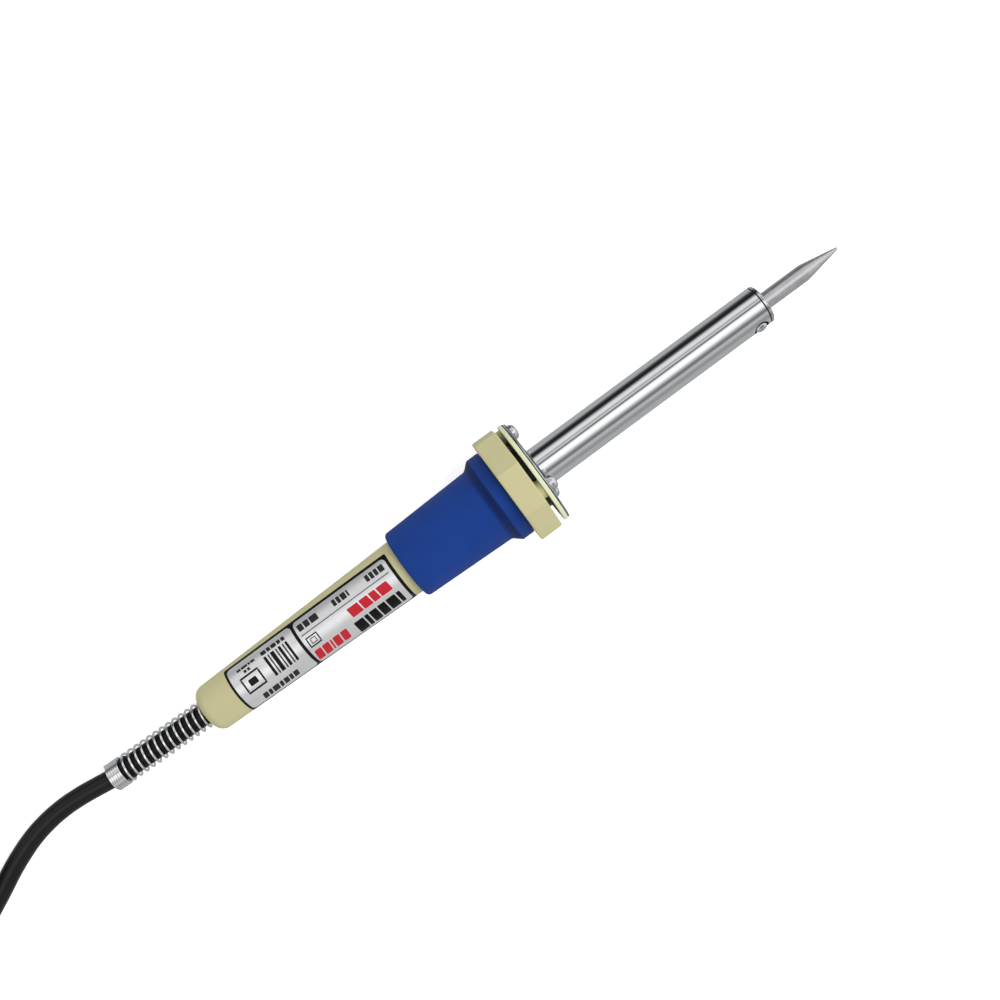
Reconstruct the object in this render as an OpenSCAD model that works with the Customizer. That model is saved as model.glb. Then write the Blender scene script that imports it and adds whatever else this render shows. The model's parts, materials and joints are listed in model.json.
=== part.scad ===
// Pencil soldering iron with a screwed-on barrel, lying on a flat surface.
// It rests on one facet of its octagonal flange and on the rear of its handle.
// In the tool's own frame u runs along the axis from the handle's rear face to the tip,
// v is to the side and w is up. tool_pose() lays that frame on the surface.

/* [Handle] */
// Length of the handle from its rear face to the octagon's front face
handle_len = 113; // [112:0.1:118]
// Radius of the handle at its rear, before the corner is rounded
handle_rear_r = 7.1; // [7.1:0.1:7.6]
// Radius that the handle grows by for each millimetre of length
handle_taper = 0.0232; // [0.02:0.0001:0.026]
// Rounding of the handle's rear corner
rear_round = 3; // [2:0.5:3.5]
// Width of the octagonal flange across its flats
octagon_flats = 32.4; // [31.4:0.2:33]
// Thickness of the octagonal flange
octagon_t = 7.3; // [6:0.1:8]
// Height of the three screw bosses in front of the octagon
boss_h = 1.4; // [1.2:0.1:2.5]

/* [Grip] */
// Where the grip sleeve starts, from the handle's rear face
grip_start = 70.3; // [66:0.1:74]
// Outer radius of the grip at its rear
grip_rear_r = 10.77; // [10.3:0.01:11]
// Outer radius of the grip where its flare begins
grip_front_r = 11.7; // [11.2:0.01:12]
// Outer radius of the flared rim
flare_r = 13.8; // [13:0.1:14.5]

/* [Label] */
// Where the foil label starts, from the handle's rear face
label_start = 11.5; // [8:0.1:14]
// Length of the label
label_len = 56.3; // [50:0.1:58]
// Angle that the label covers round the handle
label_wrap = 136; // [90:1:150]

/* [Barrel] */
// Outer diameter of the barrel tube
barrel_d = 12; // [11.8:0.1:12.4]
// Wall thickness of the barrel tube
barrel_wall = 0.5; // [0.4:0.05:0.6]
// Length of the barrel tube
barrel_len = 78.3; // [76:0.1:84]
// Radius of the pale insulating disc
disc_r = 16.4; // [16.2:0.1:16.5]
// Radius of the steel heat shield
shield_r = 16.2; // [16.1:0.1:16.4]
// Radius of the circle that the flange screws stand on
screw_circle_r = 12.8; // [12.5:0.1:13]

/* [Tip] */
// Diameter of the tip's shaft
tip_d = 5.2; // [4.8:0.1:5.2]
// Length of shaft that shows in front of the nose
tip_shaft_out = 14.5; // [8:0.5:20]
// Length of the cone
tip_cone = 12; // [9:0.5:16]
// Radius of the tip's rounded point
point_r = 0.4; // [0.2:0.1:0.8]
// Radial running clearance of the tip and of its screw
run_gap = 0.06; // [0.03:0.01:0.09]

/* [Cord] */
// Diameter of the round mains lead
cord_d = 5.6; // [5.4:0.1:5.7]
// Outer diameter of the strain relief spring
spring_d = 8.6; // [8.4:0.1:8.7]
// Wire diameter of the strain relief spring
spring_wire = 0.7; // [0.6:0.05:0.75]
// Length of the strain relief behind the handle
relief_len = 33; // [32:0.5:34]
// Diameter of the plug's pins
pin_d = 4; // [4:0.8:4.8]
// Distance between the plug's pins
pin_spacing = 19; // [18.5:0.1:19.5]
// Length of the plug's pins outside the body
pin_len = 19; // [18:0.5:19]

/* [Hidden] */
$fn = 64;

// How the tool lies: the tilt puts the octagon's rear edge and the handle's rear corner on z = 0
octagon_back = handle_len - octagon_t;
facet_r = octagon_flats / 2;
rest_run = octagon_back - rear_round;
rest_drop = facet_r - (handle_rear_r - rear_round);
tilt = atan2(rest_drop, rest_run) - asin(rear_round / norm([rest_run, rest_drop]));
axis_z = rear_round * (1 - sin(tilt)) + (handle_rear_r - rear_round) * cos(tilt);

// Stations along the axis
disc_u = handle_len + boss_h;
disc_t = 1.2;
shield_u = disc_u + disc_t;
shield_t = 0.7;
flange_u = shield_u + shield_t;
flange_t = 0.6;
barrel_u = flange_u + flange_t;
barrel_end = barrel_u + barrel_len;
nose_lip = 1.2;
nose_end = barrel_end + nose_lip;
tip_end = nose_end + tip_shaft_out + tip_cone;
tip_back = 150;
bush_len = 12;
bush_u = nose_end - bush_len;
core_u = tip_back - 1.5;
tip_screw_u = barrel_end - 3.7;

// Middle of the tool's length, so that the origin is under the middle of its box
front_x = tip_end * cos(tilt);
relief_lift = 1;
relief_yaw = 1.7;
rear_x = -relief_len * cos(tilt - relief_lift) * cos(relief_yaw);
origin_x = -(front_x + rear_x) / 2;

// Angles round the axis, from the side towards the top
label_mid = 102.5;
screw_angles = [106, -14, -134];
tip_screw_angle = 152.5;

// Tip screw and its seat in the nose bush
bush_r = barrel_d / 2 - barrel_wall - 0.02;
tip_screw_r = 1.25;
tip_head_r = 1.9;
tip_head_h = 1.35;
tip_head_seat = bush_r - 0.2;

// Inner parts
wall_u = 8;
ferrule_len = 6;
cord_space_r = 5.4;
cavity_u = 57;
cavity_r = 6.5;
spigot_r = 10.8;
hole_r = 5.3;
flange_hole_r = 1.55;
core_r = 3.2;
mica_t = 0.28;
heater_r = 3.85;
heater_wire_r = 0.24;
heater_pitch = 1.9;
heater_turns = 15;
heater_u = 152.5;
lead_y = heater_r;
block_u = 66;
block_len = 18;
block_end = block_u + block_len;
core_end = 30;
core_y = 1.25;
core_split = [
    [core_end, core_y, 0], [core_end + 8, 1.6, 0], [core_end + 18, 2.6, 0],
    [core_end + 28, 3.6, 0], [block_u - 2, lead_y, 0], [block_u + 0.8, lead_y, 0]
];

// Cord, spring and hank
cord_r = cord_d / 2;
sleeve_r = 3.1;
collar_r = 3.5;
sleeve_len = 28.5;
fold_in = 17.4;
fold_out = 23.2;
hank_x = [-200, -284];
hank_y = 8;
tie_t = 0.4;
hank_h = 3 * cord_d;
plug_z = 7;
plug_x = -237;
plug_body_l = 22;
pin_root = 6;

// Route of the free cord from the strain relief to the hank's outer run
lead_route = [
    [-126.4, 0.9, 4.5], [-129, 1.2, 4.35], [-132, 1.65, 4.15], [-138, 2.35, 3.75],
    [-144, 2.5, 3.4], [-150, 1.9, 3.1], [-155, 0.8, 2.95], [-160, -0.9, 2.87], [-165, -3, 2.85],
    [-170, -5.5, 2.85], [-175, -7.9, 2.85], [-180, -10.2, 2.9], [-185, -12.2, 3],
    [-190, -13.8, 3.1]
];
// Route of the cord's end from the hank's top inner turn down to the plug
tail_route = [
    [-276, 23.4, 14.4], [-273, 21.4, 14.3], [-270.5, 18.9, 13.8], [-268, 15.8, 12.9],
    [-265, 13, 11.7], [-261.5, 10.8, 10.2], [-258, 9.3, 8.8], [-254.5, 8.4, 7.6],
    [-251, 8, 7]
];

function handle_r(u) = handle_rear_r + handle_taper * (u - rear_round);
function round_dir(a) = [0, cos(a), sin(a)];

// Rings of a round tube that follows a route, each ring square to the route
function route_dir(route, i) =
    let (a = max(i - 1, 0), b = min(i + 1, len(route) - 1), d = route[b] - route[a])
    d / norm(d);
function ring(p, d, r, sides) =
    let (side = cross([0, 0, 1], d) / norm(cross([0, 0, 1], d)), up = cross(d, side))
    [for (k = [0:sides - 1]) p + r * (side * cos(360 * k / sides) + up * sin(360 * k / sides))];

module sweep(route, r, sides) {
    rings = len(route);
    points = [for (i = [0:rings - 1]) each ring(route[i], route_dir(route, i), r, sides)];
    walls = [
        for (i = [0:rings - 2], k = [0:sides - 1])
            let (n = (k + 1) % sides)
            [i * sides + k, (i + 1) * sides + k, (i + 1) * sides + n, i * sides + n]
    ];
    first = [for (k = [0:sides - 1]) k];
    last = [for (k = [sides - 1:-1:0]) (rings - 1) * sides + k];
    polyhedron(points, concat(walls, [first], [last]), convexity = 10);
}

module tool_pose() {
    translate([origin_x, 0, axis_z]) rotate([0, -tilt, 0]) children();
}

module relief_pose() {
    tool_pose() rotate([0, relief_lift, -relief_yaw]) children();
}

// Turns a shape drawn along z so that it runs along u, starting at the given station
module along(u) {
    translate([u, 0, 0]) rotate([0, 90, 0]) children();
}

// A round bar along u from one station to another
module bar(u1, u2, r) {
    along(u1) cylinder(r = r, h = u2 - u1);
}

// A round tube along u
module pipe(u1, u2, r_out, r_in) {
    along(u1) difference() {
        cylinder(r = r_out, h = u2 - u1);
        translate([0, 0, -1]) cylinder(r = r_in, h = u2 - u1 + 2);
    }
}

// Puts a shape on the circle of the flange screws
module at_screws() {
    for (a = screw_angles)
        translate(screw_circle_r * round_dir(a)) children();
}

module cross_recess(depth, arm, width) {
    for (a = [0, 90])
        rotate(a) translate([-arm / 2, -width / 2, -depth]) cube([arm, width, depth * 2]);
}

// Pan head on z = 0 pointing up
module pan_head(r, h) {
    difference() {
        intersection() {
            cylinder(r = r, h = h);
            translate([0, 0, h - 1.6 * r]) sphere(r = 1.6 * r);
        }
        translate([0, 0, h]) cross_recess(h * 0.55, r * 1.2, r * 0.26);
    }
}

module tip() {
    cone_u = nose_end + tip_shaft_out;
    flat_r = point_r * 0.95;
    color("silver") tool_pose() {
        bar(tip_back, cone_u, tip_d / 2);
        along(cone_u) cylinder(r1 = tip_d / 2, r2 = flat_r, h = tip_cone - point_r);
        along(tip_end - point_r) intersection() {
            sphere(r = point_r);
            translate([0, 0, -0.1]) cylinder(r = flat_r, h = 1);
        }
    }
}

// Turns a shape drawn along z so that it points outwards at the tip screw
module at_tip_screw() {
    tool_pose() translate([tip_screw_u, 0, 0])
        rotate([tip_screw_angle - 90, 0, 0]) children();
}

module tip_screw() {
    shank_start = tip_d / 2 + 0.12;
    color("lightgray") at_tip_screw() {
        translate([0, 0, shank_start])
            cylinder(r = tip_screw_r, h = tip_head_seat - shank_start + 0.1);
        translate([0, 0, tip_head_seat + 0.04]) pan_head(tip_head_r, tip_head_h);
    }
}

module nose_bush() {
    color("gainsboro") difference() {
        tool_pose() difference() {
            union() {
                bar(bush_u, nose_end, bush_r);
                bar(barrel_end, nose_end - 0.3, barrel_d / 2);
                along(nose_end - 0.3)
                    cylinder(r1 = barrel_d / 2, r2 = barrel_d / 2 - 0.3, h = 0.3);
            }
            bar(bush_u - 1, nose_end + 1, tip_d / 2 + run_gap);
        }
        at_tip_screw() cylinder(r = tip_screw_r + run_gap, h = barrel_d);
        at_tip_screw() translate([0, 0, tip_head_seat])
            cylinder(r = tip_head_r + 0.15, h = barrel_d);
    }
}

module barrel_tube() {
    color("silver") difference() {
        tool_pose() pipe(barrel_u - flange_t, barrel_end, barrel_d / 2, barrel_d / 2 - barrel_wall);
        at_tip_screw() cylinder(r = tip_head_r + 0.35, h = barrel_d);
    }
}

module barrel_flange() {
    lobe_r = 3.2;
    hub_r = 8.6;
    color("silver") tool_pose() difference() {
        along(flange_u) linear_extrude(flange_t) {
            for (a = screw_angles) hull() {
                circle(r = hub_r);
                translate([-sin(a), cos(a)] * screw_circle_r) circle(r = lobe_r);
            }
        }
        bar(flange_u - 1, barrel_u + 1, barrel_d / 2);
        at_screws() bar(flange_u - 1, barrel_u + 1, flange_hole_r);
    }
}

// A disc with the middle hole for the leads and three screw holes
module drilled_disc(u, t, r) {
    difference() {
        bar(u, u + t, r);
        bar(u - 1, u + t + 1, hole_r);
        at_screws() bar(u - 1, u + t + 1, flange_hole_r);
    }
}

module heat_shield() {
    color("darkgray") tool_pose() drilled_disc(shield_u, shield_t, shield_r);
}

module insulating_disc() {
    color("beige") tool_pose() drilled_disc(disc_u, disc_t, disc_r);
}

module flange_screws() {
    color("lightgray") tool_pose() at_screws() {
        bar(barrel_u - 10, barrel_u, 1.45);
        along(barrel_u) pan_head(2.45, 1.8);
    }
}

module handle() {
    color([0.79, 0.79, 0.6]) tool_pose() difference() {
        union() {
            along(0) rotate_extrude() polygon([
                [0, 0],
                for (a = [0:10:90])
                    [
                        handle_rear_r - rear_round + rear_round * sin(a),
                        rear_round - rear_round * cos(a)
                    ],
                [handle_r(octagon_back), octagon_back],
                [0, octagon_back]
            ]);
            along(octagon_back) rotate(22.5)
                cylinder(r = facet_r / cos(22.5), h = octagon_t, $fn = 8);
            bar(handle_len - 0.5, disc_u, spigot_r);
            at_screws() bar(handle_len - 0.5, disc_u, 2.8);
        }
        bar(-1, wall_u + 1, sleeve_r + 0.5);
        bar(wall_u, cavity_u + 1, cord_space_r);
        bar(cavity_u, disc_u + 1, cavity_r);
        at_screws() bar(octagon_back + 0.9, disc_u + 1, 1.5);
    }
}

module grip_sleeve() {
    flare_u = octagon_back - 6.7;
    rim_u = octagon_back - 3.7;
    end_u = octagon_back - 0.3;
    corner = 1.2;
    color([0.13, 0.26, 0.55]) tool_pose() along(0) rotate_extrude() polygon([
        [handle_r(grip_start), grip_start],
        for (a = [0:15:90])
            [
                grip_rear_r - corner + corner * sin(a),
                grip_start + corner - corner * cos(a)
            ],
        [grip_front_r, flare_u],
        [grip_front_r + 0.35, flare_u + 0.7],
        [flare_r - 0.35, rim_u - 0.6],
        [flare_r, rim_u],
        [flare_r, end_u - 0.6],
        [flare_r - 0.6, end_u],
        [handle_r(end_u), end_u]
    ]);
}

module label() {
    foil = 0.12;
    label_end = label_start + label_len;
    color([0.86, 0.86, 0.87]) tool_pose() along(0)
        rotate(label_mid - label_wrap / 2 + 90) rotate_extrude(angle = label_wrap) polygon([
            [handle_r(label_start), label_start],
            [handle_r(label_start) + foil, label_start],
            [handle_r(label_end) + foil, label_end],
            [handle_r(label_end), label_end]
        ]);
}

module core_tube() {
    color("slategray") tool_pose() difference() {
        bar(core_u, bush_u, core_r);
        bar(tip_back - 0.3, bush_u + 1, tip_d / 2 + run_gap);
    }
}

module mica_inner() {
    color("tan") tool_pose() pipe(core_u + 2, bush_u - 2, core_r + mica_t, core_r);
}

module heater_winding() {
    steps = 16;
    route = [
        for (i = [0:heater_turns * steps])
            let (a = 360 * i / steps)
            [heater_u + heater_pitch * i / steps, heater_r * cos(a), heater_r * sin(a)]
    ];
    color("dimgray") tool_pose() coil_sweep(route, heater_wire_r, 6);
}

// Sweep for a helix about u, where each ring is built from the outward direction
module coil_sweep(route, r, sides) {
    rings = len(route);
    points = [
        for (i = [0:rings - 1])
            let (
                p = route[i],
                out = [0, p.y, p.z] / norm([0, p.y, p.z]),
                next = cross(route_dir(route, i), out)
            )
            for (k = [0:sides - 1])
                p + r * (out * cos(360 * k / sides) + next * sin(360 * k / sides))
    ];
    walls = [
        for (i = [0:rings - 2], k = [0:sides - 1])
            let (n = (k + 1) % sides)
            [i * sides + k, (i + 1) * sides + k, (i + 1) * sides + n, i * sides + n]
    ];
    first = [for (k = [0:sides - 1]) k];
    last = [for (k = [sides - 1:-1:0]) (rings - 1) * sides + k];
    polyhedron(points, concat(walls, [first], [last]), convexity = 20);
}

module mica_outer() {
    wrap_r = heater_r + heater_wire_r + 0.05;
    color("tan") tool_pose()
        pipe(core_u + 3, bush_u - 2, wrap_r + mica_t, wrap_r);
}

// The winding's two tails, one on each side of the axis
module both_leads() {
    for (s = [-1, 1]) translate([0, s * lead_y, 0]) children();
}

module lead_wires() {
    color("gray") tool_pose() both_leads() bar(block_end - 6, heater_u - 0.1, heater_wire_r);
}

module lead_beads() {
    bead_len = 5;
    color("white") tool_pose() both_leads()
        for (i = [0:4]) {
            u = flange_u + 3 + i * (bead_len + 0.2);
            pipe(u, u + bead_len, 1.3, heater_wire_r + 0.05);
        }
}

module lead_sleeves() {
    color("ivory") tool_pose() both_leads()
        pipe(block_end + 0.5, flange_u + 2, 1, heater_wire_r + 0.03);
}

module terminal_block() {
    color("whitesmoke") tool_pose() difference() {
        intersection() {
            bar(block_u, block_end, cavity_r - 0.1);
            translate([block_u, -cavity_r, -4]) cube([block_len, 2 * cavity_r, 8]);
        }
        both_leads() bar(block_u - 1, block_end + 1, 1.5);
        at_terminals() cylinder(r = 1.2, h = 9);
    }
}

module at_terminals() {
    for (u = [block_u + 4.5, block_end - 4.5])
        both_leads() translate([u, 0, 0]) children();
}

module terminal_tubes() {
    color("goldenrod") tool_pose() difference() {
        both_leads() pipe(block_u + 1, block_end - 1, 1.5, 0.62);
        at_terminals() cylinder(r = 0.8, h = 9);
    }
}

module terminal_screws() {
    color("silver") tool_pose() at_terminals() {
        translate([0, 0, 0.62]) cylinder(r = 0.8, h = 1.2);
        translate([0, 0, 1.8]) pan_head(1.15, 1.4);
    }
}

module cord_cores() {
    color("royalblue") tool_pose() for (s = [-1, 1])
        sweep([for (p = core_split) [p.x, s * p.y, p.z]], 1.05, 10);
}

module core_copper() {
    color("peru") tool_pose() both_leads() bar(block_u + 0.8, block_u + 7.5, 0.5);
}

// The lead inside the strain relief and the handle, bent a little at the handle's rear face
module cord_inner() {
    relief_back = (relief_len - 1)
        * [-cos(relief_lift) * cos(relief_yaw), cos(relief_lift) * sin(relief_yaw), sin(relief_lift)];
    color([0.1, 0.1, 0.1]) tool_pose()
        sweep([relief_back, [0, 0, 0], [core_end, 0, 0]], cord_r, 16);
}

module cord_ferrule() {
    color("silver") tool_pose() pipe(wall_u, wall_u + ferrule_len, cord_r + 0.9, cord_r);
}

module relief_sleeve() {
    color([0.08, 0.08, 0.08]) relief_pose() difference() {
        union() {
            bar(-sleeve_len, -0.6, sleeve_r);
            bar(-sleeve_len, -sleeve_len + 2, collar_r);
        }
        bar(-sleeve_len - 1, 1, cord_r + 0.01);
    }
}

// Open coils first, then a close-wound end that grips the cord
module relief_spring() {
    mid_r = (spring_d - spring_wire) / 2;
    start = spring_wire / 2 + 0.05;
    open_coils = 13;
    open_len = 28.2;
    close_coils = 5;
    close_len = relief_len - open_len - 2 * start;
    steps = 16;
    turns_u = [
        for (i = [0:open_coils * steps])
            start + open_len * i / (open_coils * steps),
        for (i = [1:close_coils * steps])
            start + open_len + close_len * i / (close_coils * steps)
    ];
    route = [
        for (i = [0:len(turns_u) - 1])
            let (a = 360 * i / steps)
            [-turns_u[i], mid_r * cos(a), mid_r * sin(a)]
    ];
    color("silver") relief_pose() coil_sweep(route, spring_wire / 2, 6);
}

module cord_lead() {
    color([0.1, 0.1, 0.1]) sweep(lead_route, cord_r, 10);
}

module racetrack(r) {
    for (x = hank_x) translate([x, hank_y]) circle(r = r);
    translate([hank_x[1], hank_y - r]) square([hank_x[0] - hank_x[1], 2 * r]);
}

module cord_hank() {
    color([0.12, 0.12, 0.12]) translate([0, 0, tie_t]) linear_extrude(hank_h) difference() {
        racetrack(fold_out + cord_r);
        racetrack(fold_in - cord_r);
    }
}

module cord_tail() {
    color([0.1, 0.1, 0.1]) sweep(tail_route, cord_r, 10);
}

// A flat band round each of the hank's two runs
module hank_ties() {
    band_w = 4;
    run_w = fold_out - fold_in + cord_d;
    run_mid = (fold_out + fold_in) / 2;
    tie_x = -208;
    color("dimgray") for (s = [-1, 1])
        translate([tie_x, hank_y + s * run_mid, 0]) difference() {
            translate([-band_w / 2, -run_w / 2 - tie_t, 0])
                cube([band_w, run_w + 2 * tie_t, hank_h + 2 * tie_t]);
            translate([-band_w, -run_w / 2, tie_t])
                cube([2 * band_w, run_w, hank_h]);
        }
}

// Puts a shape on the plug's axis, with u towards its pins
module plug_pose() {
    translate([plug_x, hank_y, plug_z]) children();
}

module plug_relief() {
    relief_back = 14;
    color([0.1, 0.1, 0.1]) plug_pose()
        along(-relief_back) cylinder(r1 = cord_r + 0.6, r2 = 4.6, h = relief_back);
}

module plug_body() {
    half_w = 12.5;
    half_t = 6.9;
    color([0.1, 0.1, 0.1]) plug_pose() difference() {
        intersection() {
            translate([0, 0, -half_t]) linear_extrude(2 * half_t) polygon([
                [0, -6], [5, -7.5], [10, -10.5], [14, -half_w], [plug_body_l, -half_w],
                [plug_body_l, half_w], [14, half_w], [10, 10.5], [5, 7.5], [0, 6]
            ]);
            rotate([90, 0, 0]) translate([0, 0, -half_w]) linear_extrude(2 * half_w) polygon([
                [0, -5], [14, -half_t], [plug_body_l, -half_t],
                [plug_body_l, half_t], [14, half_t], [0, 5]
            ]);
        }
        at_pins() bar(-pin_root, 1, pin_d / 2 - 0.5);
    }
}

// Both pins, with u = 0 on the plug's face
module at_pins() {
    for (s = [-1, 1]) translate([plug_body_l, s * pin_spacing / 2, 0]) children();
}

module plug_pins() {
    color("lightgray") plug_pose() at_pins() {
        bar(-pin_root, 0.5, pin_d / 2 - 0.5);
        bar(0, pin_len - 1, pin_d / 2);
        along(pin_len - 1) cylinder(r1 = pin_d / 2, r2 = pin_d / 2 - 1, h = 1);
    }
}

tip();
tip_screw();
nose_bush();
barrel_tube();
barrel_flange();
heat_shield();
insulating_disc();
flange_screws();
handle();
grip_sleeve();
label();
core_tube();
mica_inner();
heater_winding();
mica_outer();
lead_wires();
lead_beads();
lead_sleeves();
terminal_block();
terminal_tubes();
terminal_screws();
core_copper();
cord_cores();
cord_inner();
cord_ferrule();
relief_sleeve();
relief_spring();
cord_lead();
cord_hank();
cord_tail();
hank_ties();
plug_relief();
plug_body();
plug_pins();
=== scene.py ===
"""Looks of the soldering iron: camera, cord, detailed pieces, materials and studio."""

import json
import math

import bmesh
import bpy
from mathutils import Matrix, Vector


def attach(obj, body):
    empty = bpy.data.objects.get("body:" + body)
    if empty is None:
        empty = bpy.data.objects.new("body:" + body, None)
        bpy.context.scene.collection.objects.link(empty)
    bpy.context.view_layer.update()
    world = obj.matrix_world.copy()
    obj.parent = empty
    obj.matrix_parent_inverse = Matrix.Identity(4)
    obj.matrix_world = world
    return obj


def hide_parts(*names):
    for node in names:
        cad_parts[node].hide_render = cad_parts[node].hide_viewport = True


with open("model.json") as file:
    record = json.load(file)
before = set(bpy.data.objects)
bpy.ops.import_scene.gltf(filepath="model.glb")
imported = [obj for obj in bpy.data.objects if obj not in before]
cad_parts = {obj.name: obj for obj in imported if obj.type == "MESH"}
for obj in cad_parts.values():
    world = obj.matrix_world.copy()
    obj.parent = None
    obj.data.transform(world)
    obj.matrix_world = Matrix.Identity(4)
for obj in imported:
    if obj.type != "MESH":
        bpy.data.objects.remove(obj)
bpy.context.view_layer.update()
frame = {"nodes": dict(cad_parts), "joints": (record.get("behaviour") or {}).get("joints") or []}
NODES = frame["nodes"]
JOINTS = {j["name"]: j for j in frame["joints"]}
MM = 0.001

# ---------------------------------------------------------------- the tool's own frame
# u runs along the axis from the handle's rear face to the tip, v is +Y and w is up.
# Pieces are drawn in millimetres, in the frame of one of these matrices.
TIP_SCREW_U = 191.5
AXIS = Vector(JOINTS["tip_slide"]["axis"]).normalized()
SIDE = Vector((0, 1, 0))
UP = AXIS.cross(SIDE)
START = Vector(JOINTS["tip_screw_turn"]["pos_m"]) - AXIS * TIP_SCREW_U * MM
TURN = Matrix((AXIS, SIDE, UP)).transposed()
TOOL = Matrix.Translation(START) @ TURN.to_4x4() @ Matrix.Scale(MM, 4)
RELIEF_YAW, RELIEF_LIFT = math.radians(-1.7), math.radians(1)
RELIEF = TOOL @ Matrix.Rotation(RELIEF_YAW, 4, "Z") @ Matrix.Rotation(RELIEF_LIFT, 4, "Y")
ROW = Matrix.Scale(MM, 4)
SCREW_ANGLES = (106, -14, -134)
TIP_SCREW_ANGLE = 152.5

# ---------------------------------------------------------------- camera
LENS = 45
SHOT_DISTANCE = 356
ROLL = math.radians(36.4)
AIM_U = 103.5
AIM_LOWER = 1.0
toward = Vector((0, 0.1305, 0.9914))
across = Vector((0, -0.9914, 0.1305))
along = Vector((1, 0, 0))
right = along * math.cos(ROLL) + across * math.sin(ROLL)
upward = along * math.sin(ROLL) - across * math.cos(ROLL)
camera = bpy.data.objects.new("camera", bpy.data.cameras.new("camera"))
bpy.context.scene.collection.objects.link(camera)
camera.data.lens = LENS
camera.data.sensor_width = 36
camera.data.clip_start = 0.01
camera.data.clip_end = 20
shot = TOOL @ (along * AIM_U - upward * AIM_LOWER + toward * SHOT_DISTANCE)
pose = Matrix((TURN @ right, TURN @ upward, TURN @ toward)).transposed().to_4x4()
camera.matrix_world = Matrix.Translation(shot) @ pose
bpy.context.scene.camera = camera


# ---------------------------------------------------------------- mesh tools
def polar(r, degrees):
    return r * math.cos(math.radians(degrees)), r * math.sin(math.radians(degrees))


def fillet(points, steps=5):
    """Rounds a profile of (u, r, radius) corners. Gives (u, r, normal u, normal r), with the outside
    on the left of the way it runs."""
    flat = [Vector(p[:2]) for p in points]
    out = []
    for i, p in enumerate(flat):
        before = (p - flat[i - 1]).normalized() if i else None
        after = (flat[i + 1] - p).normalized() if i < len(flat) - 1 else None
        if before is None or after is None:
            d = after or before
            out.append((p.x, p.y, -d.y, d.x))
            continue
        n1, n2 = Vector((-before.y, before.x)), Vector((-after.y, after.x))
        bend = before.x * after.y - before.y * after.x
        angle = math.atan2(bend, before.dot(after))
        if abs(angle) < 1e-4:
            out.append((p.x, p.y, n1.x, n1.y))
            continue
        radius = points[i][2] if len(points[i]) > 2 else 0.06
        cut = radius * math.tan(abs(angle) / 2)
        sign = -1 if angle < 0 else 1
        centre = p - before * cut + n1 * radius * sign
        for k in range(steps + 1):
            t = angle * k / steps
            n = Vector((n1.x * math.cos(t) - n1.y * math.sin(t), n1.x * math.sin(t) + n1.y * math.cos(t)))
            q = centre - n * radius * sign
            out.append((q.x, q.y, n.x, n.y))
    return out


def finish_mesh(name, verts, faces, matrix, normals=None):
    mesh = bpy.data.meshes.new(name)
    mesh.from_pydata([matrix @ Vector(v) for v in verts], [], faces)
    mesh.shade_smooth()
    mesh.update()
    if normals:
        turn = matrix.to_3x3().normalized()
        mesh.normals_split_custom_set_from_vertices([(turn @ Vector(n)).normalized() for n in normals])
    return mesh


def lathe(name, profile, matrix=TOOL, segments=96, ring=False, steps=5):
    """A solid turned about u. A profile that starts and ends on the axis, or a ring's closed one."""
    if ring:
        corners = list(profile)
        middle = tuple((Vector(corners[0][:2]) + Vector(corners[-1][:2])) / 2)
        line = fillet([middle, *corners, middle], steps)[:-1]
    else:
        line = fillet(profile, steps)
    verts, normals, rings = [], [], []
    for u, r, nu, nr in line:
        if r < 1e-6:
            rings.append([len(verts)] * segments)
            verts.append((u, 0, 0))
            normals.append((nu or 1, 0, 0))
            continue
        rings.append([len(verts) + k for k in range(segments)])
        for k in range(segments):
            c, s = math.cos(2 * math.pi * k / segments), math.sin(2 * math.pi * k / segments)
            verts.append((u, r * c, r * s))
            normals.append((nu, nr * c, nr * s))
    faces = []
    pairs = list(zip(rings, rings[1:])) + ([(rings[-1], rings[0])] if ring else [])
    for a, b in pairs:
        for k in range(segments):
            n = (k + 1) % segments
            face = list(dict.fromkeys((a[k], b[k], b[n], a[n])))
            if len(face) > 2:
                faces.append(face[::-1])
    return finish_mesh(name, verts, faces, matrix, normals)


def weighted(mesh):
    """Normals that follow the large faces, so that bevels look crisp."""
    total = [Vector((0, 0, 0)) for _ in mesh.vertices]
    for p in mesh.polygons:
        for i in p.vertices:
            total[i] += p.normal * p.area
    mesh.shade_smooth()
    up = Vector((0, 0, 1))
    mesh.normals_split_custom_set_from_vertices([n.normalized() if n.length else up for n in total])
    return mesh


def creased(mesh, degrees=32):
    mesh.shade_smooth()
    mesh.set_sharp_from_angle(angle=math.radians(degrees))
    return mesh


def joined(name, meshes):
    """One mesh from several. Their own normals are kept."""
    verts, faces, normals = [], [], []
    for m in meshes:
        base = len(verts)
        corner = m.corner_normals
        verts += [v.co.copy() for v in m.vertices]
        for p in m.polygons:
            faces.append([base + i for i in p.vertices])
            normals += [corner[li].vector.copy() for li in p.loop_indices]
    mesh = bpy.data.meshes.new(name)
    mesh.from_pydata(verts, [], faces)
    mesh.shade_smooth()
    mesh.normals_split_custom_set(normals)
    for m in meshes:
        bpy.data.meshes.remove(m)
    return mesh


def boolean(mesh, cutter):
    """The mesh with the cutter taken out of it. Both are used up."""
    a, b = (bpy.data.objects.new(n, m) for n, m in (("cut_a", mesh), ("cut_b", cutter)))
    for o in (a, b):
        bpy.context.scene.collection.objects.link(o)
    m = a.modifiers.new("cut", "BOOLEAN")
    m.operation, m.object, m.solver = "DIFFERENCE", b, "EXACT"
    result = bpy.data.meshes.new_from_object(a.evaluated_get(bpy.context.evaluated_depsgraph_get()))
    result.name = mesh.name
    for o in (a, b):
        bpy.data.objects.remove(o)
    for old in (mesh, cutter):
        bpy.data.meshes.remove(old)
    return result


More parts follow.
